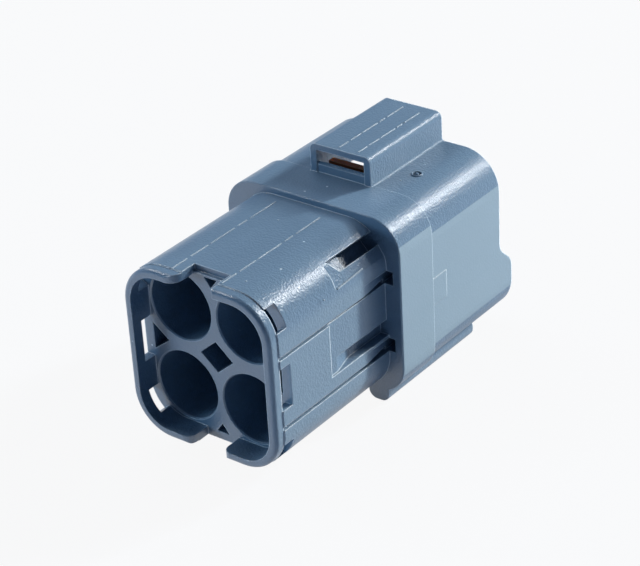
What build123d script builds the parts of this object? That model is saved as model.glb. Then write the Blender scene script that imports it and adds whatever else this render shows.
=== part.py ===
from build123d import *
import math
import os

os.makedirs("parts", exist_ok=True)

# All sizes in mm. X runs across the wire end, Y from the wire end to the mating end, Z up.
# The origin lies on the shared axis of the four cavities, in the plane of the wire-end rim.

# Cavities for the sealed wires
pitch_across = 6.6
pitch_up = 7.24
bore_dia = 5.96
bore_depth = 8.5
land_side = 0.22
land_top = 0.27
passage_width = 3.0
passage_height = 2.9
blade_width = 2.7
blade_height = 1.1

# Rear skirt and sleeve round the cavities
skirt_wall = 0.77
skirt_depth = 2.17
sleeve_corner_r = 3.6
lip_length = 1.0
lip_step = 0.07
notch_width_top = 3.5
notch_width_bottom = 3.2
notch_extra_depth = 0.36
notch_round_left = 1.0
notch_round_right = 0.3
notch_round_bottom = 0.8

# Collar, mating hood and the lock box on top of it
flange_start = 14.8
collar_length = 4.5
collar_over_side = 1.35
collar_over_top = 0.54
collar_over_bottom = 0.12
collar_corner_r = 2.9
collar_proud = 0.06
hood_wall = 1.0
hood_corner_r = 3.4
hood_length_upper = 9.9
hood_length_lower = 11.7
hood_floor_depth = 4.1
lock_width = 6.0
lock_rise = 2.6
lock_wall = 0.62
lock_roof = 0.54
lock_edge_r = 0.6
lock_blend_r = 0.25
lock_front_wall = 0.9
lock_over_collar = 0.32
lock_recess = 0.1
sill_rise = 0.7
sill_slope = 0.2
slot_height = 1.08

# Rails under the collar and hood
rail_width = 2.0
rail_drop = 0.85
rail_corner_r = 0.76
rail_length = 12.4
rail_inset = 1.57

# Post inside the hood and the retainer that slides on it
post_wall = 0.5
post_length = 3.8
post_front = 1.0
retainer_plate = 2.5
retainer_over_side = 0.9
retainer_over_top = 0.45
retainer_corner_r = 1.4
retainer_travel = 1.5
arm_wall = 0.8
arm_height = 4.4
arm_length = 3.0
nub_height = 0.25
nub_length = 0.8
nub_width = 1.4
hook_width = 3.8
hook_wall = 0.65
hook_height = 3.3
slide_clearance = 0.06
guide_clearance = 0.1

# Sizes that follow from the ones above
bore_r = bore_dia / 2
cavity_x = pitch_across / 2
cavity_z = pitch_up / 2
inner_half_w = cavity_x + bore_r + land_side
inner_half_h = cavity_z + bore_r + land_top
sleeve_half_w = inner_half_w + skirt_wall
sleeve_half_h = inner_half_h + skirt_wall
inner_corner_r = sleeve_corner_r - skirt_wall
corner_x = sleeve_half_w - sleeve_corner_r
corner_z = sleeve_half_h - sleeve_corner_r

collar_half_w = sleeve_half_w + collar_over_side
collar_top = sleeve_half_h + collar_over_top
collar_bottom = -sleeve_half_h - collar_over_bottom
collar_end = flange_start + collar_length
hood_half_w = collar_half_w - collar_proud
hood_top = collar_top - collar_proud
hood_bottom = collar_bottom + collar_proud
hood_end_upper = collar_end + hood_length_upper
hood_end_lower = collar_end + hood_length_lower
hood_floor = flange_start + hood_floor_depth
mouth_half_w = hood_half_w - hood_wall
mouth_top = hood_top - hood_wall
mouth_bottom = hood_bottom + hood_wall
mouth_corner_r = hood_corner_r - hood_wall

lock_start = collar_end - lock_over_collar
lock_half_w = lock_width / 2
lock_top = hood_top + lock_rise
slot_half_w = lock_half_w - lock_wall
slot_top = lock_top - lock_roof
slot_bottom = slot_top - slot_height
sill_top = collar_top + sill_rise
rail_x = collar_half_w - rail_inset - rail_width / 2

bore_end = skirt_depth + bore_depth
mouth_bevel = land_side * 0.5
post_half_w = cavity_x + passage_width / 2 + post_wall
post_half_h = cavity_z + passage_height / 2 + post_wall
post_end = hood_floor + post_length
retainer_start = post_end + slide_clearance
retainer_end = retainer_start + retainer_plate
retainer_half_w = post_half_w + retainer_over_side
retainer_half_h = post_half_h + retainer_over_top
arm_start = retainer_start - arm_length
hook_start = lock_start + lock_front_wall + guide_clearance

# Grooves, pockets and channel in the sides of the sleeve
groove_bottoms = (pitch_up * 0.356, -pitch_up * 0.494)
groove_width = skirt_wall * 0.42
groove_depth = skirt_wall * 0.4
gap_start = flange_start * 0.65
gap_depth = skirt_wall * 1.1
pocket_height = pitch_up * 0.166
pocket_out = collar_over_side * 0.44
pocket_start = flange_start * 0.8
pocket_depth = skirt_wall * 0.55
panel_start = flange_start * 0.486
panel_depth = skirt_wall * 0.26
channel_top = -pitch_up * 0.104
channel_bottom = -pitch_up * 0.29
channel_start = flange_start * 0.5
channel_ramp = flange_start * 0.2
channel_depth = skirt_wall * 1.05

# Windows behind the lip and the slots on the upper corners of the sleeve
window_half = pitch_up * 0.255
corner_window_angle = 31
corner_window_width = sleeve_corner_r * 0.57
corner_slot_angle = 43
corner_slot_width = sleeve_corner_r * 0.33
corner_slot_depth = skirt_wall * 1.15
corner_hole_depth = skirt_wall * 2
corner_hole_start = bore_end + skirt_wall * 0.4
corner_slot_start = flange_start * 0.6
corner_slot_slant = corner_slot_width * 0.75
facet_angle = 33
facet_start = flange_start * 0.57
facet_share = 0.957

# Hollows moulded between the cavities
void_depth = bore_depth * 0.6
rhombus_half_w = pitch_across * 0.245
rhombus_half_h = pitch_up * 0.19
side_void_apex = pitch_across * 0.73
side_void_base = inner_half_w - land_side * 0.5
side_void_half = pitch_up * 0.165
end_void_apex = inner_half_h * 0.893
end_void_base = inner_half_h + skirt_wall * 0.13
end_void_half = notch_width_top * 0.185
notch_floor = inner_half_h + skirt_wall * 0.33

# Small marks on the hood
gate_r = hood_wall * 0.42
gate_depth = hood_wall * 0.14
gate_x = hood_half_w * 0.555
gate_y = collar_end + hood_length_upper * 0.36
pad_length = collar_length * 0.42
pad_half_height = pitch_up * 0.17
pad_proud = collar_proud * 0.7
rim_step_top = -pitch_up * 0.01
rim_step_bottom = -pitch_up * 0.42


def station(y):
    """Plane square to Y at the given place along it: X to the right, Z up."""
    return Plane.XZ.offset(-y)


def block(x0, x1, y0, y1, z0, z1, mode=Mode.ADD):
    """Box between the given coordinates."""
    with Locations(((x0 + x1) / 2, (y0 + y1) / 2, (z0 + z1) / 2)):
        Box(abs(x1 - x0), abs(y1 - y0), abs(z1 - z0), mode=mode)


def section(half_w, top, bottom, corner_r, mode=Mode.ADD):
    """Rounded rectangle between two heights, centred across X."""
    with Locations((0, (top + bottom) / 2)):
        RectangleRounded(2 * half_w, top - bottom, corner_r, mode=mode)


def cut_prism(y, depth, outline):
    """Cut a straight-sided hollow into the face at y."""
    with BuildSketch(station(y)) as opening:
        with BuildLine():
            Polyline(*outline, close=True)
        make_face()
    extrude(opening.sketch, amount=-depth, mode=Mode.SUBTRACT)


def cut_ramp(side, z0, z1, outline):
    """Cut a hollow whose plan outline is given as (distance from the middle, y)."""
    with BuildSketch(Plane.XY.offset(z0)) as plan:
        with BuildLine():
            Polyline(*[(side * x, y) for x, y in outline], close=True)
        make_face()
    extrude(plan.sketch, amount=z1 - z0, mode=Mode.SUBTRACT)


def cut_notch(up, z, depth, half, left_r, right_r):
    """Cut a notch into the rim of the skirt beyond height z, its mouth rounded."""
    left, right = -half - left_r, half + right_r
    with BuildSketch(Plane.XY.offset(up * z)) as plan:
        with BuildLine():
            Polyline((half, right_r), (half, depth), (-half, depth), (-half, left_r))
            TangentArc((-half, left_r), (left, 0), tangent=(0, -1))
            Polyline((left, 0), (left, -skirt_wall), (right, -skirt_wall), (right, 0))
            TangentArc((half, right_r), (right, 0), tangent=(0, -1))
        make_face()
    extrude(plan.sketch, amount=up * 2 * skirt_wall, mode=Mode.SUBTRACT)


def cut_corner(side, up, angle, inner, y0, y1, width):
    """Cut a flat-bottomed slot square to one rounded corner of the sleeve."""
    turn = math.degrees(math.atan2(up * math.sin(math.radians(angle)), side * math.cos(math.radians(angle))))
    place = Location((side * corner_x, (y0 + y1) / 2, up * corner_z), (0, -turn, 0))
    with Locations(place * Location((inner, 0, 0))):
        Box(
            sleeve_corner_r, y1 - y0, width,
            align=(Align.MIN, Align.CENTER, Align.CENTER), mode=Mode.SUBTRACT,
        )


with BuildPart() as housing:
    # Lip of the rear skirt, slightly smaller than the sleeve and rounded outside
    with BuildSketch(station(0)):
        RectangleRounded(
            2 * (sleeve_half_w - lip_step), 2 * (sleeve_half_h - lip_step), sleeve_corner_r - lip_step
        )
    extrude(amount=-lip_length)
    fillet(housing.faces().sort_by(Axis.Y)[0].edges(), skirt_wall * 0.5)

    # Sleeve
    with BuildSketch(station(lip_length)):
        RectangleRounded(2 * sleeve_half_w, 2 * sleeve_half_h, sleeve_corner_r)
    extrude(amount=-(flange_start - lip_length))

    # Collar with softened front and back edges
    with BuildSketch(station(flange_start)):
        section(collar_half_w, collar_top, collar_bottom, collar_corner_r)
    extrude(amount=-collar_length)
    across = housing.faces().filter_by(Plane.XZ)
    front = across.sort_by(lambda face: abs(face.center().Y - flange_start))[0]
    fillet(front.outer_wire().edges(), collar_over_bottom * 0.8)
    fillet(housing.faces().sort_by(Axis.Y)[-1].outer_wire().edges(), collar_proud * 0.8)

    # Hood, its rim set back above the middle on both sides
    with BuildSketch(station(collar_end)):
        section(hood_half_w, hood_top, hood_bottom, hood_corner_r)
    extrude(amount=-hood_length_lower)
    with BuildSketch(Plane.YZ):
        with BuildLine():
            mid = (rim_step_top + rim_step_bottom) / 2
            Bezier(
                (hood_end_upper, rim_step_top), (hood_end_upper, mid),
                (hood_end_lower, mid), (hood_end_lower, rim_step_bottom),
            )
            Polyline(
                (hood_end_lower, rim_step_bottom), (hood_end_lower + hood_wall, rim_step_bottom),
                (hood_end_lower + hood_wall, hood_top + hood_wall),
                (hood_end_upper, hood_top + hood_wall), (hood_end_upper, rim_step_top),
            )
        make_face()
    extrude(amount=collar_half_w, both=True, mode=Mode.SUBTRACT)

    # Lock box with rounded top edges and a hollow blend into the hood
    with BuildSketch(station(lock_start)):
        with Locations((0, hood_top)):
            Rectangle(2 * (lock_half_w + lock_blend_r), 2 * lock_blend_r)
        with Locations(
            (lock_half_w + lock_blend_r, hood_top + lock_blend_r),
            (-lock_half_w - lock_blend_r, hood_top + lock_blend_r),
        ):
            Circle(lock_blend_r, mode=Mode.SUBTRACT)
        section(lock_half_w, lock_top, hood_top - lock_edge_r * 2, lock_edge_r)
    extrude(amount=-(hood_end_upper - lock_start))

    # Rails under the collar and hood
    with BuildSketch(station(flange_start)):
        with Locations((rail_x, collar_bottom), (-rail_x, collar_bottom)):
            RectangleRounded(rail_width, 2 * rail_drop, rail_corner_r)
    extrude(amount=-rail_length)

    # Marks on the hood: gate spot on top, faint pads beside the collar
    with Locations((gate_x, gate_y, hood_top - gate_depth / 2)):
        Cylinder(gate_r, gate_depth, mode=Mode.SUBTRACT)
        Cylinder(gate_r / 3, gate_depth)
    for side in (-1, 1):
        block(
            side * (hood_half_w - pad_proud), side * (hood_half_w + pad_proud),
            collar_end, collar_end + pad_length, -pad_half_height, pad_half_height,
        )

    # Recess of the rear skirt with the four cavities in its floor
    with BuildSketch(station(0)):
        RectangleRounded(2 * inner_half_w, 2 * inner_half_h, inner_corner_r)
    extrude(amount=-skirt_depth, mode=Mode.SUBTRACT)
    with BuildSketch(station(skirt_depth)):
        with GridLocations(pitch_across, pitch_up, 2, 2):
            Circle(bore_r)
    extrude(amount=-bore_depth, mode=Mode.SUBTRACT)
    for side in (-1, 1):
        for up in (-1, 1):
            with Locations((side * cavity_x, skirt_depth + mouth_bevel / 2, up * cavity_z)):
                Cone(bore_r + mouth_bevel, bore_r, mouth_bevel, rotation=(-90, 0, 0), mode=Mode.SUBTRACT)

    # Narrow passages for the terminals, ending in openings for the blades
    with BuildSketch(station(bore_end)):
        with GridLocations(pitch_across, pitch_up, 2, 2):
            RectangleRounded(passage_width, passage_height, passage_height * 0.14)
    extrude(amount=-(post_end - post_front - bore_end), mode=Mode.SUBTRACT)

    # Hood cavity round the post
    with BuildSketch(station(hood_floor)):
        section(mouth_half_w, mouth_top, mouth_bottom, mouth_corner_r)
        RectangleRounded(
            2 * post_half_w, 2 * post_half_h, mouth_corner_r * 0.5, mode=Mode.SUBTRACT
        )
    extrude(amount=-post_length, mode=Mode.SUBTRACT)
    with BuildSketch(station(post_end)):
        section(mouth_half_w, mouth_top, mouth_bottom, mouth_corner_r)
    extrude(amount=-(hood_end_lower - post_end), mode=Mode.SUBTRACT)
    with BuildSketch(station(post_end - post_front)):
        with GridLocations(pitch_across, pitch_up, 2, 2):
            RectangleRounded(blade_width, blade_height, blade_height * 0.2)
    extrude(amount=-post_front, mode=Mode.SUBTRACT)

    # Lock channel above the hood cavity. Its front wall has a slot over a crest that slopes both ways.
    block(
        -slot_half_w, slot_half_w, lock_start + lock_front_wall, hood_end_lower,
        mouth_top - hood_wall, slot_top, mode=Mode.SUBTRACT,
    )
    with BuildSketch(Plane.YZ) as slot:
        with BuildLine():
            Polyline(
                (lock_start, collar_top), (lock_start + lock_recess, collar_top),
                (lock_start + lock_recess, sill_top),
                (lock_start + lock_recess + sill_slope, slot_bottom),
                (lock_start + lock_front_wall, sill_top - sill_slope),
                (lock_start + lock_front_wall, slot_top), (lock_start, slot_top), close=True,
            )
        make_face()
    extrude(slot.sketch, amount=slot_half_w, both=True, mode=Mode.SUBTRACT)

    # Hollows between the cavities
    cut_prism(
        skirt_depth, void_depth,
        [(rhombus_half_w, 0), (0, rhombus_half_h), (-rhombus_half_w, 0), (0, -rhombus_half_h)],
    )
    for side in (-1, 1):
        cut_prism(
            skirt_depth, void_depth,
            [
                (side * side_void_apex, 0), (side * side_void_base, side_void_half),
                (side * side_void_base, -side_void_half),
            ],
        )
        cut_prism(
            skirt_depth, void_depth,
            [
                (0, side * end_void_apex), (end_void_half, side * end_void_base),
                (-end_void_half, side * end_void_base),
            ],
        )

    # Notches in the top and bottom of the skirt
    cut_notch(
        1, notch_floor, skirt_depth + notch_extra_depth, notch_width_top / 2,
        notch_round_left, notch_round_right,
    )
    cut_notch(
        1, end_void_apex, skirt_depth, notch_width_top / 2, notch_round_left, notch_round_right,
    )
    cut_notch(
        -1, end_void_apex, skirt_depth, notch_width_bottom / 2,
        notch_round_bottom, notch_round_bottom,
    )

    for side in (-1, 1):
        # Windows behind the lip, at the middle of the side and at its two corners
        block(
            side * (inner_half_w - land_side), side * (sleeve_half_w + skirt_wall),
            lip_length, skirt_depth, -window_half, window_half, mode=Mode.SUBTRACT,
        )
        for up in (-1, 1):
            cut_corner(
                side, up, corner_window_angle, inner_corner_r - land_top,
                lip_length, skirt_depth, corner_window_width,
            )

        # Grooves along the side, deeper towards the collar, each under a pocket that runs into it
        for z in groove_bottoms:
            cut_ramp(
                side, z, z + groove_width,
                [
                    (sleeve_half_w - groove_depth, lip_length), (sleeve_half_w + skirt_wall, lip_length),
                    (sleeve_half_w + skirt_wall, flange_start), (sleeve_half_w - gap_depth, flange_start),
                    (sleeve_half_w - groove_depth, gap_start),
                ],
            )
            cut_ramp(
                side, z, z + pocket_height,
                [
                    (sleeve_half_w, pocket_start), (sleeve_half_w + skirt_wall, pocket_start),
                    (sleeve_half_w + skirt_wall, flange_start), (sleeve_half_w - pocket_depth, flange_start),
                ],
            )
            block(
                side * (sleeve_half_w - pocket_depth), side * (sleeve_half_w + pocket_out),
                flange_start, hood_floor, z, z + pocket_height, mode=Mode.SUBTRACT,
            )

        # Sunk panel between the grooves with a channel deepening towards the collar
        block(
            side * (sleeve_half_w - panel_depth), side * (sleeve_half_w + skirt_wall),
            panel_start, flange_start, channel_bottom, groove_bottoms[0], mode=Mode.SUBTRACT,
        )
        cut_ramp(
            side, channel_bottom, channel_top,
            [
                (sleeve_half_w, channel_start), (sleeve_half_w, flange_start),
                (sleeve_half_w - channel_depth, flange_start),
                (sleeve_half_w - channel_depth, channel_start + channel_ramp),
            ],
        )

        # Flattened upper corner with a slanted slot running up to the collar
        cut_corner(
            side, 1, facet_angle, sleeve_corner_r * facet_share,
            facet_start, flange_start, sleeve_corner_r,
        )
        slope = math.radians(corner_slot_angle)
        normal = (side * math.cos(slope), 0, math.sin(slope))
        skin = Plane(
            origin=(side * corner_x + sleeve_corner_r * normal[0], 0, corner_z + sleeve_corner_r * normal[2]),
            x_dir=(0, 1, 0), z_dir=normal,
        )
        with BuildSketch(skin):
            with BuildLine():
                Polyline(
                    (corner_slot_start, side * corner_slot_width / 2),
                    (flange_start, side * corner_slot_width / 2),
                    (flange_start, -side * corner_slot_width / 2),
                    (corner_slot_start + corner_slot_slant, -side * corner_slot_width / 2),
                    close=True,
                )
            make_face()
        extrude(amount=-corner_slot_depth, mode=Mode.SUBTRACT)
        with BuildSketch(skin):
            with Locations(((corner_hole_start + flange_start) / 2, 0)):
                Rectangle(flange_start - corner_hole_start, corner_slot_width)
        extrude(amount=-corner_hole_depth, mode=Mode.SUBTRACT)

        # Guide channels in the post that let the retainer slide and stop it at both ends
        block(
            side * (post_half_w - nub_height - guide_clearance), side * post_half_w,
            arm_start - slide_clearance, arm_start + nub_length + retainer_travel + slide_clearance,
            -nub_width / 2 - guide_clearance, nub_width / 2 + guide_clearance, mode=Mode.SUBTRACT,
        )

with BuildPart() as retainer:
    # Plate in front of the post
    with BuildSketch(station(retainer_start)):
        RectangleRounded(2 * retainer_half_w, 2 * retainer_half_h, retainer_corner_r)
    extrude(amount=-retainer_plate)
    chamfer(retainer.faces().sort_by(Axis.Y)[-1].outer_wire().edges(), retainer_plate * 0.12)

    # Arms along the post, each with a nub in its guide channel
    arm_inner = post_half_w + slide_clearance
    for side in (-1, 1):
        block(
            side * arm_inner, side * (arm_inner + arm_wall), arm_start, retainer_start,
            -arm_height / 2, arm_height / 2,
        )
        block(
            side * (arm_inner - nub_height), side * arm_inner, arm_start, arm_start + nub_length,
            -nub_width / 2, nub_width / 2,
        )

    # Hook that reaches over the post into the lock channel, where the slot shows it
    hook_bottom = post_half_h + slide_clearance
    block(
        -hook_width / 2, hook_width / 2, hook_start, retainer_start,
        hook_bottom, hook_bottom + hook_wall,
    )
    block(
        -hook_width / 2, hook_width / 2, hook_start, hook_start + hook_wall,
        hook_bottom, hook_bottom + hook_height,
    )

    # Blade openings with sunk surrounds
    with BuildSketch(station(retainer_start)):
        with GridLocations(pitch_across, pitch_up, 2, 2):
            RectangleRounded(blade_width, blade_height, blade_height * 0.2)
    extrude(amount=-retainer_plate, mode=Mode.SUBTRACT)
    with BuildSketch(station(retainer_end - retainer_plate * 0.25)):
        with GridLocations(pitch_across, pitch_up, 2, 2):
            RectangleRounded(blade_width * 1.35, blade_height * 1.9, blade_height * 0.4)
    extrude(amount=-retainer_plate * 0.25, mode=Mode.SUBTRACT)

housing.part.label = "housing"
retainer.part.label = "retainer"

export_step(housing.part, "parts/housing.step")
export_step(retainer.part, "parts/retainer.step")
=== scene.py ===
import logging
import math
from dataclasses import dataclass, field, replace
from enum import Enum

import bmesh
import bpy
from mathutils import Matrix, Vector


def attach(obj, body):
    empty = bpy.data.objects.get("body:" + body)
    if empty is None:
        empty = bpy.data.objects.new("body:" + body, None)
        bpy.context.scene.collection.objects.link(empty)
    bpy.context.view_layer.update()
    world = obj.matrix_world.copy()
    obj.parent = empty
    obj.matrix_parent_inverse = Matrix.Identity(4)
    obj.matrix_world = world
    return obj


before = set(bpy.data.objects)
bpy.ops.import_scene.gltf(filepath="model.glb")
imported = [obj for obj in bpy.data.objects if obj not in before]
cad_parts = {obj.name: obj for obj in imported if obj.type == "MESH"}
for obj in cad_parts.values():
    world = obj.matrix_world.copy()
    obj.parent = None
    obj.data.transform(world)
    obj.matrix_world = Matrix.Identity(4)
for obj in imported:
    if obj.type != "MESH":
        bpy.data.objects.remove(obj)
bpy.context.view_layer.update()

MM = 0.001
Colour = tuple[float, float, float, float]
WHITE: Colour = (1.0, 1.0, 1.0, 1.0)
LOG = logging.getLogger("connector")


class Part(Enum):
    """The two mouldings; a body, its node and its finish share one name."""

    HOUSING = "housing"
    RETAINER = "retainer"


class Facing(Enum):
    """The way a surface that carries a mark faces."""

    UP = (0, 0, 1)
    RIGHT = (1, 0, 0)


class ShaderKit:
    """Builds the node groups that both plastics use, and the nodes inside them.

    A pair of numbers is a ramp: the value that gives nought and the one that gives one.
    """

    COARSE_GRAIN_SCALE = 0.37
    COARSE_GRAIN_RAMP = (0.3, 0.7)
    FINE_GRAIN_RAMP = (0.35, 0.65)
    EDGE_SAMPLES = 6
    EDGE_RAMP = (0.008, 0.12)
    CLOUD_STRETCH = (1.0, 0.35, 1.0)
    CLOUD_RAMP = (0.3, 0.7)
    SPECK_SOFTNESS = 0.5
    SPECK_CHOICE_RAMP = (0.86, 0.9)
    STREAK_TURN = (0.6, 0.0, 0.3)
    STREAK_STRETCH = (1.0, 0.12, 1.6)
    STREAK_RAMP = (0.62, 0.8)
    SLEEVE_SIDE_SOFTNESS = 0.96
    SLEEVE_SIDE_TOP_RAMP = (5.2 * MM, 3.8 * MM)

    def __init__(self) -> None:
        """Builds every group once."""
        self.grain = self.build_grain()
        self.soft_edge = self.build_soft_edge()
        self.flow = self.build_flow()
        self.dust = self.build_dust()
        self.scuff = self.build_scuff()
        self.matt_and_sheen_face = self.build_matt_and_sheen_face()

    @staticmethod
    def add(tree: bpy.types.NodeTree, kind: str, settings: dict | None = None,
            **values: object) -> bpy.types.Node:
        """Adds a node.

        Args:
            tree: The tree that gets the node.
            kind: The node's type without the ShaderNode prefix.
            settings: Properties of the node.
            values: Values of its sockets, with underscores for the spaces in their names.

        Returns:
            The new node.
        """
        node = tree.nodes.new(f"ShaderNode{kind}")
        for label, value in (settings or {}).items():
            setattr(node, label, value)
        for label, value in values.items():
            node.inputs[label.replace("_", " ")].default_value = value
        return node

    @classmethod
    def maths(cls, tree: bpy.types.NodeTree, operation: str, first: object,
              second: object = 0.0) -> bpy.types.NodeSocket:
        """Adds a Math node.

        Args:
            tree: The tree that gets the node.
            operation: The operation's name.
            first: A socket or a number.
            second: A socket or a number.

        Returns:
            The result's socket.
        """
        node = cls.add(tree, "Math", {"operation": operation})
        for index, value in enumerate((first, second)):
            if isinstance(value, bpy.types.NodeSocket):
                tree.links.new(value, node.inputs[index])
            else:
                node.inputs[index].default_value = value
        return node.outputs[0]

    @classmethod
    def ramp(cls, tree: bpy.types.NodeTree, value: bpy.types.NodeSocket, low: object,
             high: object) -> bpy.types.NodeSocket:
        """Maps low to nought and high to one, smoothly, with the rest cut off.

        Args:
            tree: The tree that gets the node.
            value: The socket that is mapped.
            low: A socket or a number.
            high: A socket or a number.

        Returns:
            The mapped value's socket.
        """
        node = cls.add(tree, "MapRange", {"interpolation_type": "SMOOTHSTEP"})
        tree.links.new(value, node.inputs["Value"])
        for label, bound in (("From Min", low), ("From Max", high)):
            if isinstance(bound, bpy.types.NodeSocket):
                tree.links.new(bound, node.inputs[label])
            else:
                node.inputs[label].default_value = bound
        return node.outputs["Result"]

    @classmethod
    def noise(cls, tree: bpy.types.NodeTree, vector: bpy.types.NodeSocket,
              scale: bpy.types.NodeSocket, detail: float) -> bpy.types.NodeSocket:
        """Adds a noise pattern.

        Args:
            tree: The tree that gets the node.
            vector: The coordinates.
            scale: Repeats per metre.
            detail: Octaves of finer noise.

        Returns:
            The pattern's value.
        """
        node = cls.add(tree, "TexNoise", Detail=detail)
        tree.links.new(vector, node.inputs["Vector"])
        tree.links.new(scale, node.inputs["Scale"])
        return node.outputs["Fac"]

    @classmethod
    def blend(cls, tree: bpy.types.NodeTree, share: bpy.types.NodeSocket, first: object,
              second: object) -> bpy.types.NodeSocket:
        """Mixes two colours.

        Args:
            tree: The tree that gets the node.
            share: The second colour's share.
            first: A socket or a colour.
            second: A socket or a colour.

        Returns:
            The mixed colour's socket.
        """
        node = cls.add(tree, "Mix", {"data_type": "RGBA"})
        tree.links.new(share, node.inputs["Factor"])
        ends = [socket for socket in node.inputs if socket.type == "RGBA"]
        for end, value in zip(ends, (first, second)):
            if isinstance(value, bpy.types.NodeSocket):
                tree.links.new(value, end)
            else:
                end.default_value = value
        return next(socket for socket in node.outputs if socket.type == "RGBA")

    @staticmethod
    def open_group(name: str, inputs: dict, outputs: dict) -> tuple:
        """Starts a node group.

        Args:
            name: Name of the group.
            inputs: Names of the inputs with their default numbers, and None for coordinates.
            outputs: Names of the outputs with their kinds.

        Returns:
            The tree, its input sockets and its output sockets.
        """
        tree = bpy.data.node_groups.new(name, "ShaderNodeTree")
        for label, value in inputs.items():
            kind = "Vector" if value is None else "Float"
            socket = tree.interface.new_socket(label, in_out="INPUT",
                                               socket_type=f"NodeSocket{kind}")
            if value is not None:
                socket.default_value = value
        for label, kind in outputs.items():
            tree.interface.new_socket(label, in_out="OUTPUT", socket_type=f"NodeSocket{kind}")
        ways_in = tree.nodes.new("NodeGroupInput").outputs
        ways_out = tree.nodes.new("NodeGroupOutput").inputs
        return tree, ways_in, ways_out

    def build_grain(self) -> bpy.types.NodeTree:
        """Fine spark-eroded grain, as a height from nought to one."""
        tree, ways_in, ways_out = self.open_group(
            "mould_grain", {"Vector": None, "Scale": 4000.0, "Coarse Share": 0.3},
            {"Height": "Float"})
        fine = self.noise(tree, ways_in["Vector"], ways_in["Scale"], detail=1.0)
        wider = self.maths(tree, "MULTIPLY", ways_in["Scale"], self.COARSE_GRAIN_SCALE)
        coarse = self.noise(tree, ways_in["Vector"], wider, detail=1.0)
        mixed = self.add(tree, "Mix", {"data_type": "FLOAT"})
        tree.links.new(ways_in["Coarse Share"], mixed.inputs["Factor"])
        tree.links.new(self.ramp(tree, fine, *self.FINE_GRAIN_RAMP), mixed.inputs["A"])
        tree.links.new(self.ramp(tree, coarse, *self.COARSE_GRAIN_RAMP), mixed.inputs["B"])
        tree.links.new(mixed.outputs["Result"], ways_out["Height"])
        return tree

    def build_soft_edge(self) -> bpy.types.NodeTree:
        """A normal that is rounded at the edges, with a mask of where it bends away, which
        places a painted highlight.
        """
        tree, ways_in, ways_out = self.open_group(
            "soft_edge", {"Radius": 0.0001}, {"Normal": "Vector", "Edge": "Float"})
        rounded = self.add(tree, "Bevel", {"samples": self.EDGE_SAMPLES})
        tree.links.new(ways_in["Radius"], rounded.inputs["Radius"])
        flat = self.add(tree, "NewGeometry")
        dot = self.add(tree, "VectorMath", {"operation": "DOT_PRODUCT"})
        tree.links.new(rounded.outputs["Normal"], dot.inputs[0])
        tree.links.new(flat.outputs["Normal"], dot.inputs[1])
        bend = self.maths(tree, "SUBTRACT", 1.0, dot.outputs["Value"])
        tree.links.new(self.ramp(tree, bend, *self.EDGE_RAMP), ways_out["Edge"])
        tree.links.new(rounded.outputs["Normal"], ways_out["Normal"])
        return tree

    def build_flow(self) -> bpy.types.NodeTree:
        """Wide clouds that run along the moulding, where the melt flowed."""
        tree, ways_in, ways_out = self.open_group(
            "melt_flow", {"Vector": None, "Scale": 220.0}, {"Cloud": "Float"})
        along = self.add(tree, "Mapping", Scale=self.CLOUD_STRETCH)
        tree.links.new(ways_in["Vector"], along.inputs["Vector"])
        cloud = self.noise(tree, along.outputs["Vector"], ways_in["Scale"], detail=3.0)
        tree.links.new(self.ramp(tree, cloud, *self.CLOUD_RAMP), ways_out["Cloud"])
        return tree

    def build_dust(self) -> bpy.types.NodeTree:
        """Sparse pale specks."""
        tree, ways_in, ways_out = self.open_group(
            "dust_specks", {"Vector": None, "Scale": 900.0, "Size": 0.1}, {"Speck": "Float"})
        cells = self.add(tree, "TexVoronoi")
        tree.links.new(ways_in["Vector"], cells.inputs["Vector"])
        tree.links.new(ways_in["Scale"], cells.inputs["Scale"])
        core = self.maths(tree, "MULTIPLY", ways_in["Size"], self.SPECK_SOFTNESS)
        inside = self.ramp(tree, cells.outputs["Distance"], ways_in["Size"], core)
        chosen = self.add(tree, "SeparateColor")
        tree.links.new(cells.outputs["Color"], chosen.inputs["Color"])
        rare = self.ramp(tree, chosen.outputs["Red"], *self.SPECK_CHOICE_RAMP)
        tree.links.new(self.maths(tree, "MULTIPLY", inside, rare), ways_out["Speck"])
        return tree

    def build_scuff(self) -> bpy.types.NodeTree:
        """Faint rubbed streaks from handling."""
        tree, ways_in, ways_out = self.open_group(
            "handling_scuff", {"Vector": None, "Scale": 500.0}, {"Streak": "Float"})
        turned = self.add(tree, "Mapping", Rotation=self.STREAK_TURN,
                          Scale=self.STREAK_STRETCH)
        tree.links.new(ways_in["Vector"], turned.inputs["Vector"])
        streak = self.noise(tree, turned.outputs["Vector"], ways_in["Scale"], detail=2.0)
        tree.links.new(self.ramp(tree, streak, *self.STREAK_RAMP), ways_out["Streak"])
        return tree

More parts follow.
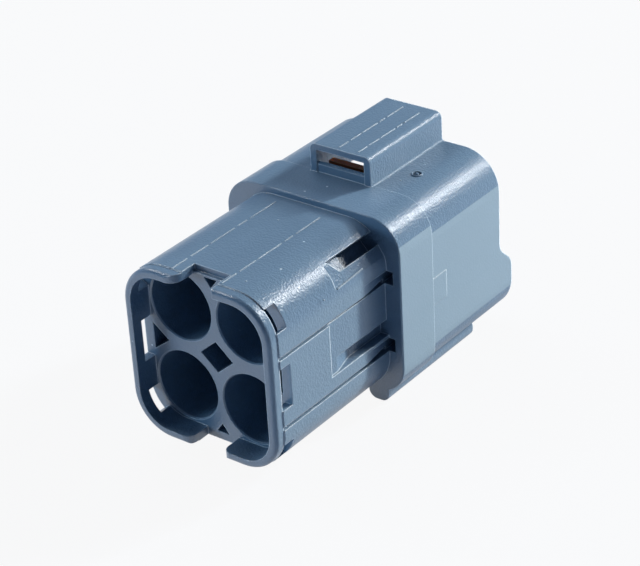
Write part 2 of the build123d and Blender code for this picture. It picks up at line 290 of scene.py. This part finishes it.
    def build_matt_and_sheen_face(self) -> bpy.types.NodeTree:
        """The flat sides: less glossy from the mould's slides, and painted paler there as a
        painted sheen.
        """
        tree, ways_in, ways_out = self.open_group(
            "matt_and_sheen_face", {"Vector": None, "Sleeve Side": 7.2 * MM, "Hood Side": 8.5 * MM,
                           "Sleeve End": 14.8 * MM, "Sleeve Share": 0.35}, {"Matt And Sheen": "Float"})
        place = self.add(tree, "SeparateXYZ")
        tree.links.new(ways_in["Vector"], place.inputs[0])
        across = self.maths(tree, "ABSOLUTE", place.outputs["X"])
        hood = self.maths(tree, "GREATER_THAN", across, ways_in["Hood Side"])
        start = self.maths(tree, "MULTIPLY", ways_in["Sleeve Side"], self.SLEEVE_SIDE_SOFTNESS)
        side = self.ramp(tree, across, start, ways_in["Sleeve Side"])
        near = self.maths(tree, "LESS_THAN", place.outputs["Y"], ways_in["Sleeve End"])
        # On the sleeve the painted sheen is weaker and fades out towards the top corner.
        low = self.ramp(tree, place.outputs["Z"], *self.SLEEVE_SIDE_TOP_RAMP)
        sleeve = ways_in["Sleeve Share"]
        for share in (side, near, low):
            sleeve = self.maths(tree, "MULTIPLY", sleeve, share)
        tree.links.new(self.maths(tree, "MAXIMUM", hood, sleeve), ways_out["Matt And Sheen"])
        return tree


@dataclass(frozen=True)
class MouldedPlastic:
    """A moulded plastic's finish: its colours, its gloss, its grain, a painted highlight on its
    edges and a painted sheen on its flat sides.
    """

    name: str
    colour: Colour
    deep_colour: Colour
    edge_highlight_and_dust_colour: Colour
    painted_sheen_colour: Colour
    roughness: float = 0.3
    rub_roughness: float = 0.06
    matt_roughness: float = 0.2
    matt_calm: float = 0.75
    specular: float = 0.9
    ior: float = 1.65
    grain_scale: float = 5600.0
    grain_depth: float = 17.0e-6
    edge_radius: float = 0.14 * MM

    def make(self, kit: ShaderKit) -> bpy.types.Material:
        """Builds the material.

        Args:
            kit: The shared node groups.

        Returns:
            The material, with a Principled BSDF fed by the groups.
        """
        material = bpy.data.materials.new(self.name)
        material.use_nodes = True
        tree = material.node_tree
        tree.nodes.clear()
        place = kit.add(tree, "TexCoord").outputs["Object"]
        grain, edge, flow, dust, scuff, matt_and_sheen_node = (
            self.add_group(tree, group, place) for group in
            (kit.grain, kit.soft_edge, kit.flow, kit.dust, kit.scuff, kit.matt_and_sheen_face))
        grain.inputs["Scale"].default_value = self.grain_scale
        edge.inputs["Radius"].default_value = self.edge_radius
        matt_and_sheen, cloud = matt_and_sheen_node.outputs["Matt And Sheen"], flow.outputs["Cloud"]

        colour = kit.blend(tree, cloud, self.deep_colour, self.colour)
        # Painted sheen: the flat sides are painted paler, standing in for the light they catch.
        colour = kit.blend(tree, matt_and_sheen, colour, self.painted_sheen_colour)
        # Painted highlight: edges are painted pale, standing in for the glints on their rounded
        # corners; the dust specks below use the same pale colour.
        colour = kit.blend(tree, edge.outputs["Edge"], colour, self.edge_highlight_and_dust_colour)
        colour = kit.blend(tree, dust.outputs["Speck"], colour, self.edge_highlight_and_dust_colour)

        rough = self.roughness
        for share, amount in ((scuff.outputs["Streak"], self.rub_roughness),
                              (cloud, self.rub_roughness), (matt_and_sheen, self.matt_roughness)):
            rough = kit.maths(tree, "ADD", kit.maths(tree, "MULTIPLY", share, amount), rough)

        calmed = kit.maths(tree, "MULTIPLY", matt_and_sheen, self.matt_calm)
        strength = kit.maths(tree, "SUBTRACT", 1.0, calmed)
        height = kit.maths(tree, "MULTIPLY", grain.outputs["Height"], strength)
        bump = kit.add(tree, "Bump", Strength=1.0, Distance=self.grain_depth)
        tree.links.new(height, bump.inputs["Height"])
        tree.links.new(edge.outputs["Normal"], bump.inputs["Normal"])

        shader = kit.add(tree, "BsdfPrincipled", Specular_IOR_Level=self.specular, IOR=self.ior)
        tree.links.new(colour, shader.inputs["Base Color"])
        tree.links.new(rough, shader.inputs["Roughness"])
        tree.links.new(bump.outputs["Normal"], shader.inputs["Normal"])
        surface = kit.add(tree, "OutputMaterial").inputs["Surface"]
        tree.links.new(shader.outputs["BSDF"], surface)
        return material

    @staticmethod
    def add_group(tree: bpy.types.NodeTree, group: bpy.types.NodeTree,
                  place: bpy.types.NodeSocket) -> bpy.types.Node:
        """Adds a shared group to the material.

        Args:
            tree: The material's tree.
            group: The group's own tree.
            place: The coordinates, for a group that reads them.

        Returns:
            The group's node.
        """
        node = tree.nodes.new("ShaderNodeGroup")
        node.node_tree = group
        if "Vector" in node.inputs:
            tree.links.new(place, node.inputs["Vector"])
        return node


BLUE_GREY = MouldedPlastic(
    "blue_grey_plastic",
    colour=(0.128, 0.216, 0.325, 1.0),
    deep_colour=(0.118, 0.201, 0.305, 1.0),
    # painted highlight colour on the edges, also the dust specks' colour
    edge_highlight_and_dust_colour=(0.6, 0.72, 0.82, 1.0),
    # painted sheen colour for the flat sides
    painted_sheen_colour=(0.25, 0.36, 0.455, 1.0),
)
ORANGE = MouldedPlastic(
    "orange_plastic",
    colour=(0.72, 0.17, 0.035, 1.0),
    deep_colour=(0.64, 0.14, 0.028, 1.0),
    edge_highlight_and_dust_colour=(0.85, 0.42, 0.2, 1.0),
    painted_sheen_colour=(0.72, 0.17, 0.035, 1.0),
    grain_depth=1.5e-6,
)


def finish_mesh(mesh: bmesh.types.BMesh, name: str, part: Part,
                material: bpy.types.Material, smooth: bool = False) -> None:
    """Turns a bmesh into a finished piece and reports it.

    Args:
        mesh: The shape, in metres and in the object's own frame.
        name: Name of the piece.
        part: The moulding that carries it.
        material: Its finish.
        smooth: Whether its faces are shaded smooth.
    """
    bmesh.ops.recalc_face_normals(mesh, faces=mesh.faces)
    data = bpy.data.meshes.new(name)
    mesh.to_mesh(data)
    mesh.free()
    for polygon in data.polygons:
        polygon.use_smooth = smooth
    data.materials.append(material)
    piece = bpy.data.objects.new(name, data)
    bpy.context.scene.collection.objects.link(piece)
    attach(piece, part.value)
    LOG.info("%s: %d faces", name, len(data.polygons))


@dataclass(frozen=True)
class Ridge:
    """A thin raised line, straight between two points on the surface (mm).

    The crest is narrower than the foot by one share and shorter by another.
    """

    start: tuple[float, float, float]
    end: tuple[float, float, float]
    facing: Facing = Facing.UP
    width: float = 0.15
    height: float = 0.06
    sink: float = 0.02
    crest_width_share: float = 0.25
    crest_length_share: float = 0.97

    def add_to(self, mesh: bmesh.types.BMesh) -> None:
        """Adds the ridge to a mesh.

        Args:
            mesh: The mesh that gets it.
        """
        first, last, away = Vector(self.start), Vector(self.end), Vector(self.facing.value)
        along = (last - first).normalized()
        across = along.cross(away).normalized()
        out = across.cross(along)
        made = bmesh.ops.create_cube(mesh, size=1.0)["verts"]
        crest = [vertex for vertex in made if vertex.co.z > 0]
        bmesh.ops.scale(mesh, verts=crest,
                        vec=(self.crest_width_share, self.crest_length_share, 1.0))
        size = (self.width, (last - first).length, self.height + self.sink)
        bmesh.ops.scale(mesh, vec=size, verts=made)
        turn = Matrix((across, along, out)).transposed().to_4x4()
        middle = (first + last) / 2 + out * (self.height - self.sink) / 2
        bmesh.ops.transform(mesh, matrix=Matrix.Translation(middle) @ turn, verts=made)


@dataclass(frozen=True)
class Seam:
    """A worn mould seam: a ridge that breaks off here and there.

    Each run starts and ends at a share of the ridge's length.
    """

    line: Ridge
    runs: tuple[tuple[float, float], ...] = ((0.0, 0.13), (0.16, 0.31), (0.33, 0.55),
                                             (0.58, 0.66), (0.69, 0.93))

    def add_to(self, mesh: bmesh.types.BMesh) -> None:
        """Adds what is left of the seam to a mesh.

        Args:
            mesh: The mesh that gets it.
        """
        first, last = Vector(self.line.start), Vector(self.line.end)
        for begin, stop in self.runs:
            replace(self.line, start=tuple(first.lerp(last, begin)),
                    end=tuple(first.lerp(last, stop))).add_to(mesh)


@dataclass(frozen=True)
class Pip:
    """A small flattened dome on the surface (mm)."""

    centre: tuple[float, float, float]
    radius: float = 0.1
    flatness: float = 0.5
    fineness: int = 2

    def add_to(self, mesh: bmesh.types.BMesh) -> None:
        """Adds the pip to a mesh.

        Args:
            mesh: The mesh that gets it.
        """
        made = bmesh.ops.create_icosphere(mesh, subdivisions=self.fineness,
                                          radius=self.radius)["verts"]
        bmesh.ops.scale(mesh, vec=(1.0, 1.0, self.flatness), verts=made)
        bmesh.ops.translate(mesh, vec=self.centre, verts=made)


@dataclass
class HousingDressing:
    """The housing's finish and the small marks its mould left (mm)."""

    sleeve_top: float = 7.64
    lock_top: float = 10.72
    hood_top: float = 8.12
    gate_place: tuple[float, float] = (4.77, 22.9)
    gate_radius: float = 0.42
    gate_ring_radius: float = 0.09
    gate_ring_sides: int = 8
    gate_ring_steps: int = 32
    gate_stub_foot: float = 0.2
    gate_stub_top: float = 0.13
    gate_stub_depth: float = 0.16
    gate_stub_sides: int = 20
    sleeve_seams: tuple[Seam | Ridge, ...] = field(init=False)
    lock_seams: tuple[Seam, ...] = field(init=False)
    pips: tuple[Pip, ...] = field(init=False)

    def __post_init__(self) -> None:
        """Places the seams and pips on the surfaces that carry them."""
        top, lock = self.sleeve_top, self.lock_top
        self.sleeve_seams = (Seam(Ridge((-2.7, 1.0, top), (-2.7, 14.8, top))),
                             Seam(Ridge((2.0, 1.2, top), (2.0, 14.4, top))),
                             Ridge((7.14, 8.57, 5.06), (7.1, 11.95, 5.27), Facing.RIGHT))
        self.lock_seams = (Seam(Ridge((-0.3, 19.35, lock), (-0.3, 29.0, lock))),
                           Seam(Ridge((1.55, 19.4, lock), (1.55, 28.7, lock))))
        self.pips = (Pip((3.35, 2.43, top)), Pip((-0.6, 11.42, top)), Pip((7.27, 6.7, 5.1)),
                     Pip((4.3, 21.3, self.hood_top), radius=0.08))

    def dress(self, node: bpy.types.Object, finish: MouldedPlastic, kit: ShaderKit) -> None:
        """Gives the housing its finish and adds its marks.

        Args:
            node: The housing's CAD node.
            finish: Its plastic.
            kit: The shared node groups.
        """
        material = finish.make(kit)
        node.data.materials.clear()
        node.data.materials.append(material)
        self.add_marks("sleeve_seams", self.sleeve_seams, material)
        self.add_marks("lock_box_seams", self.lock_seams, material)
        self.add_marks("mould_pips", self.pips, material)
        self.add_gate(material)

    def add_marks(self, name: str, marks: tuple, material: bpy.types.Material) -> None:
        """Builds one piece out of several marks.

        Args:
            name: Name of the piece.
            marks: Seams, ridges or pips.
            material: The finish.
        """
        mesh = bmesh.new()
        for mark in marks:
            mark.add_to(mesh)
        bmesh.ops.scale(mesh, vec=(MM, MM, MM), verts=mesh.verts)
        finish_mesh(mesh, name, Part.HOUSING, material)

    def add_gate(self, material: bpy.types.Material) -> None:
        """Builds the low ring and stub that the sprue left on the hood.

        Args:
            material: The finish.
        """
        mesh = bmesh.new()
        ring = bmesh.ops.create_circle(mesh, segments=self.gate_ring_sides,
                                       radius=self.gate_ring_radius)["verts"]
        bmesh.ops.rotate(mesh, cent=(0, 0, 0), verts=ring,
                         matrix=Matrix.Rotation(math.pi / 2, 3, "X"))
        bmesh.ops.translate(mesh, vec=(self.gate_radius, 0, 0), verts=ring)
        bmesh.ops.spin(mesh, geom=mesh.verts[:] + mesh.edges[:], cent=(0, 0, 0),
                       axis=(0, 0, 1), angle=math.tau, steps=self.gate_ring_steps,
                       use_merge=True)
        bmesh.ops.create_cone(mesh, cap_ends=True, segments=self.gate_stub_sides,
                              radius1=self.gate_stub_foot, radius2=self.gate_stub_top,
                              depth=self.gate_stub_depth)
        bmesh.ops.translate(mesh, vec=(*self.gate_place, self.hood_top), verts=mesh.verts)
        bmesh.ops.scale(mesh, vec=(MM, MM, MM), verts=mesh.verts)
        finish_mesh(mesh, "gate_mark", Part.HOUSING, material, smooth=True)


@dataclass
class RetainerDressing:
    """The retainer's finish."""

    def dress(self, node: bpy.types.Object, finish: MouldedPlastic, kit: ShaderKit) -> None:
        """Gives the retainer its finish.

        Args:
            node: The retainer's CAD node.
            finish: Its plastic.
            kit: The shared node groups.
        """
        node.data.materials.clear()
        node.data.materials.append(finish.make(kit))


@dataclass(frozen=True)
class Softbox:
    """A soft lamp that looks at the part, turned from +Y towards +X (degrees).

    One that doesn't shine lights the part without being mirrored in it.
    """

    name: str
    azimuth: float
    elevation: float
    width: float
    height: float
    level: float
    colour: tuple[float, float, float] = (1.0, 1.0, 1.0)
    shines: bool = True
    distance: float = 0.6

    def place(self, target: Vector) -> None:
        """Adds the lamp to the scene.

        Args:
            target: The point it looks at.
        """
        turn, rise = math.radians(self.azimuth), math.radians(self.elevation)
        way = Vector((math.sin(turn) * math.cos(rise), math.cos(turn) * math.cos(rise),
                      math.sin(rise)))
        data = bpy.data.lights.new(self.name, "AREA")
        data.shape = "RECTANGLE"
        data.size = self.width
        data.size_y = self.height
        data.energy = self.level * (math.pi * self.distance) ** 2
        data.color = self.colour
        lamp = bpy.data.objects.new(self.name, data)
        lamp.visible_glossy = self.shines
        lamp.location = target + way * self.distance
        lamp.rotation_euler = way.to_track_quat("Z", "Y").to_euler()
        bpy.context.scene.collection.objects.link(lamp)
        LOG.info("%s: level %.2f", self.name, self.level)


@dataclass
class Studio:
    """The pale floor, the soft light and the photograph's viewpoint.

    The camera sees a bright floor and surround, while the part is lit by far dimmer ones. What
    the part mirrors lies between: the floor fades from its bright side to its dim side.
    """

    floor_height: float = -8.63 * MM
    floor_radius: float = 3.0
    floor_sides: int = 96
    floor_colour: Colour = (0.26, 0.34, 0.46, 1.0)
    floor_glow: float = 0.92
    floor_roughness: float = 0.4
    floor_dim_side: float = 14.0 * MM
    floor_bright_side: float = 2.0 * MM
    floor_dimness: float = 0.1
    fill_colour: Colour = (0.6, 0.85, 1.3, 1.0)
    horizon_ramp: tuple[float, float] = (0.3, 0.02)
    ambient: float = 0.065
    glossy_surround: float = 0.35
    camera_azimuth: float = 38.478
    camera_elevation: float = 29.402
    camera_roll: float = -3.394
    camera_distance: float = 173.297 * MM
    camera_target: tuple[float, float, float] = (-0.768 * MM, 16.46 * MM, -0.531 * MM)
    focal_pixels: float = 2108.884
    picture_width: float = 640.0
    sensor_width: float = 36.0
    nearest_seen: float = 10.0 * MM
    lamps: tuple[Softbox, ...] = (
        Softbox("key_softbox", azimuth=24.0, elevation=25.0, width=0.04, height=0.1, level=1.1,
                colour=(1.0, 0.95, 0.88), shines=False),
        Softbox("glint_softbox", azimuth=32.0, elevation=35.0, width=0.06, height=0.12,
                level=0.32),
        Softbox("low_softbox", azimuth=23.0, elevation=5.0, width=0.04, height=0.1,
                level=1.2, colour=(1.0, 0.9, 0.78), shines=False),
        Softbox("overhead_softbox", azimuth=-60.0, elevation=54.0, width=0.4, height=0.4,
                level=0.36, colour=(1.0, 1.0, 1.05), shines=False),
        Softbox("front_softbox", azimuth=-140.0, elevation=8.0, width=0.2, height=0.12,
                level=0.27, colour=(0.7, 1.0, 1.25), shines=False),
        Softbox("left_softbox", azimuth=-95.0, elevation=45.0, width=0.12, height=0.12,
                level=0.25),
    )

    def build(self, kit: ShaderKit) -> None:
        """Builds the floor, the world, the lamps and the camera.

        Args:
            kit: The shared node groups.
        """
        bpy.context.scene.view_settings.view_transform = "Standard"
        self.build_floor(kit)
        self.build_world(kit)
        for lamp in self.lamps:
            lamp.place(Vector(self.camera_target))
        self.build_camera()

    def build_floor(self, kit: ShaderKit) -> None:
        """Builds a round floor that shows nearly white, with the part's shadow.

        Args:
            kit: The shared node groups.
        """
        mesh = bmesh.new()
        bmesh.ops.create_circle(mesh, cap_ends=True, segments=self.floor_sides,
                                radius=self.floor_radius)
        bmesh.ops.translate(mesh, vec=(0, 0, self.floor_height), verts=mesh.verts)
        data = bpy.data.meshes.new("floor")
        mesh.to_mesh(data)
        mesh.free()
        floor = bpy.data.objects.new("floor", data)
        bpy.context.scene.collection.objects.link(floor)
        material = bpy.data.materials.new("pale_floor")
        material.use_nodes = True
        tree = material.node_tree
        tree.nodes.clear()
        matte = kit.add(tree, "BsdfPrincipled", Base_Color=self.floor_colour,
                        Roughness=self.floor_roughness)
        glow = kit.add(tree, "Emission", Color=WHITE, Strength=1.0)
        place = kit.add(tree, "SeparateXYZ")
        tree.links.new(kit.add(tree, "TexCoord").outputs["Object"], place.inputs[0])
        side = kit.ramp(tree, place.outputs["X"], self.floor_dim_side, self.floor_bright_side)
        seen = self.seen_share(kit, tree, kit.maths(tree, "MAXIMUM", side, self.floor_dimness))
        mixed = kit.add(tree, "MixShader")
        tree.links.new(kit.maths(tree, "MULTIPLY", seen, self.floor_glow), mixed.inputs[0])
        tree.links.new(matte.outputs["BSDF"], mixed.inputs[1])
        tree.links.new(glow.outputs["Emission"], mixed.inputs[2])
        tree.links.new(mixed.outputs[0], kit.add(tree, "OutputMaterial").inputs["Surface"])
        data.materials.append(material)

    def build_world(self, kit: ShaderKit) -> None:
        """Builds an even soft surround that pales towards the horizon.

        Args:
            kit: The shared node groups.
        """
        world = bpy.data.worlds.new("studio_surround")
        bpy.context.scene.world = world
        world.use_nodes = True
        tree = world.node_tree
        tree.nodes.clear()
        way = kit.add(tree, "SeparateXYZ")
        tree.links.new(kit.add(tree, "TexCoord").outputs["Generated"], way.inputs[0])
        pale = kit.ramp(tree, way.outputs["Z"], *self.horizon_ramp)
        seen = self.seen_share(kit, tree, self.glossy_surround)
        gain = kit.maths(tree, "MULTIPLY", kit.maths(tree, "MULTIPLY", seen, pale),
                         1.0 - self.ambient)
        level = kit.maths(tree, "ADD", gain, self.ambient)
        surround = kit.add(tree, "Background")
        tint = kit.blend(tree, seen, self.fill_colour, WHITE)
        tree.links.new(tint, surround.inputs["Color"])
        tree.links.new(level, surround.inputs["Strength"])
        tree.links.new(surround.outputs[0], kit.add(tree, "OutputWorld").inputs["Surface"])

    @staticmethod
    def seen_share(kit: ShaderKit, tree: bpy.types.NodeTree,
                   mirrored: object) -> bpy.types.NodeSocket:
        """Tells how bright the floor or surround is for a ray: one where the camera sees it.

        Args:
            kit: The shared node groups.
            tree: The tree that gets the nodes.
            mirrored: A socket or a number, the share that a mirroring surface sees.

        Returns:
            The share's socket, nought for the light that falls on the part.
        """
        paths = kit.add(tree, "LightPath").outputs
        seen = kit.maths(tree, "MAXIMUM", paths["Is Camera Ray"], paths["Is Transmission Ray"])
        shine = kit.maths(tree, "MULTIPLY", paths["Is Glossy Ray"], mirrored)
        return kit.maths(tree, "MAXIMUM", seen, shine)

    def build_camera(self) -> None:
        """Builds the camera at the photograph's viewpoint."""
        turn, rise = math.radians(self.camera_azimuth), math.radians(self.camera_elevation)
        away = Vector((math.sin(turn) * math.cos(rise), -math.cos(turn) * math.cos(rise),
                       math.sin(rise)))
        right = Vector((math.cos(turn), math.sin(turn), 0.0))
        up = away.cross(right)
        roll = Matrix.Rotation(math.radians(self.camera_roll), 3, away)
        right, up = roll @ right, roll @ up
        data = bpy.data.cameras.new("camera")
        data.sensor_fit = "HORIZONTAL"
        data.sensor_width = self.sensor_width
        data.lens = self.focal_pixels / self.picture_width * self.sensor_width
        data.clip_start = self.nearest_seen
        camera = bpy.data.objects.new("camera", data)
        place = Vector(self.camera_target) + away * self.camera_distance
        camera.matrix_world = (Matrix.Translation(place)
                               @ Matrix((right, up, away)).transposed().to_4x4())
        bpy.context.scene.collection.objects.link(camera)
        bpy.context.scene.camera = camera
        LOG.info("camera: right %s up %s", tuple(right), tuple(up))


def main() -> None:
    """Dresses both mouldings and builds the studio."""
    kit = ShaderKit()
    for part, dressing, finish in ((Part.HOUSING, HousingDressing(), BLUE_GREY),
                                   (Part.RETAINER, RetainerDressing(), ORANGE)):
        dressing.dress(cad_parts[part.value], finish, kit)
        LOG.info("%s: dressed in %s", part.value, finish.name)
    Studio().build(kit)


if __name__ == "__main__":
    logging.basicConfig(level=logging.INFO, format="%(message)s")
    main()
